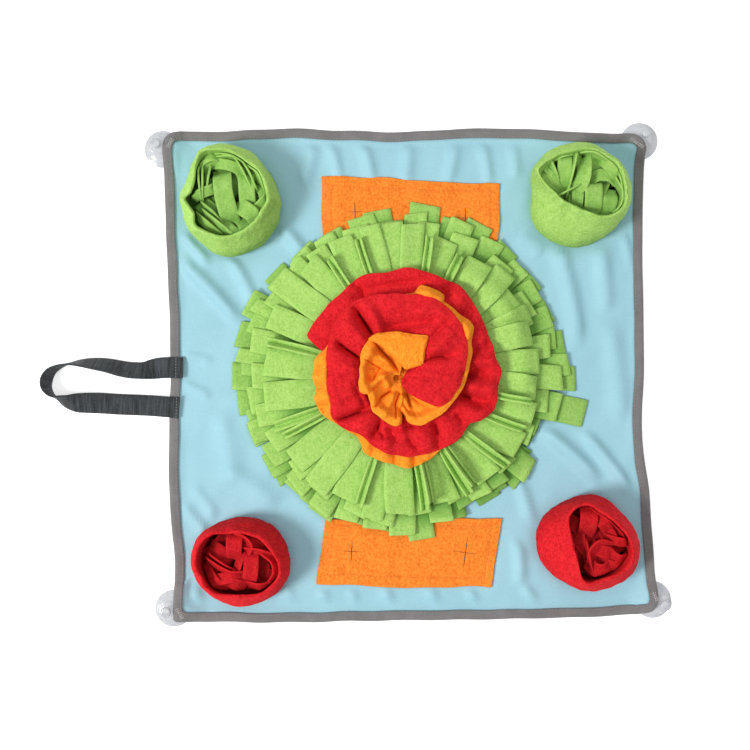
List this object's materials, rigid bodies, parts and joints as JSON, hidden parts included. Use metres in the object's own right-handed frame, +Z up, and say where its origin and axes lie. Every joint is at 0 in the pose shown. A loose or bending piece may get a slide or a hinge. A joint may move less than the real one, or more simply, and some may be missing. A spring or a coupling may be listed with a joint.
{
  "type": "snuffle mat",
  "caption": "Square cloth foraging mat for a dog, with a fleece fringe, a ruffled rosette, stuffed corner pots, slit felt patches, a webbing loop and suction cups.",
  "frame": {"origin": "middle of the mat's underside, on the floor", "axes": "+Z up, +X away from the webbing loop, +Y towards the two green pots"},
  "size_m": [0.5841, 0.4715, 0.0559],
  "materials": {
    "blue_cloth": "thin plain-weave polyester with a slight sheen",
    "grey_tape": "woven binding tape, matt, with one row of pale stitches",
    "black_webbing": "ribbed polypropylene webbing",
    "orange_felt": "thin brushed fleece, topstitched",
    "orange_fleece": "soft napped fleece",
    "green_fleece": "soft napped fleece",
    "red_fleece": "soft napped fleece",
    "clear_vinyl": "clear soft vinyl, glossy"
  },
  "bodies": {
    "root": {"mat_panel": "blue_cloth", "binding": "grey_tape", "handle": "black_webbing", "patch_top": "orange_felt", "patch_bottom": "orange_felt", "fringe_tier_1": "green_fleece", "fringe_tier_2": "green_fleece", "fringe_tier_3": "green_fleece", "fringe_tier_4": "green_fleece", "rosette_orange": "orange_fleece", "rosette_red": "red_fleece", "pot_top_left": "green_fleece", "pot_top_right": "green_fleece", "pot_bottom_left": "red_fleece", "pot_bottom_right": "red_fleece", "filling_top_left": "green_fleece", "filling_top_right": "green_fleece", "filling_bottom_left": "red_fleece", "filling_bottom_right": "red_fleece", "suction_cup_top_left": "clear_vinyl", "suction_cup_top_right": "clear_vinyl", "suction_cup_bottom_right": "clear_vinyl", "suction_cup_bottom_left": "clear_vinyl"}
  },
  "joints": []
}
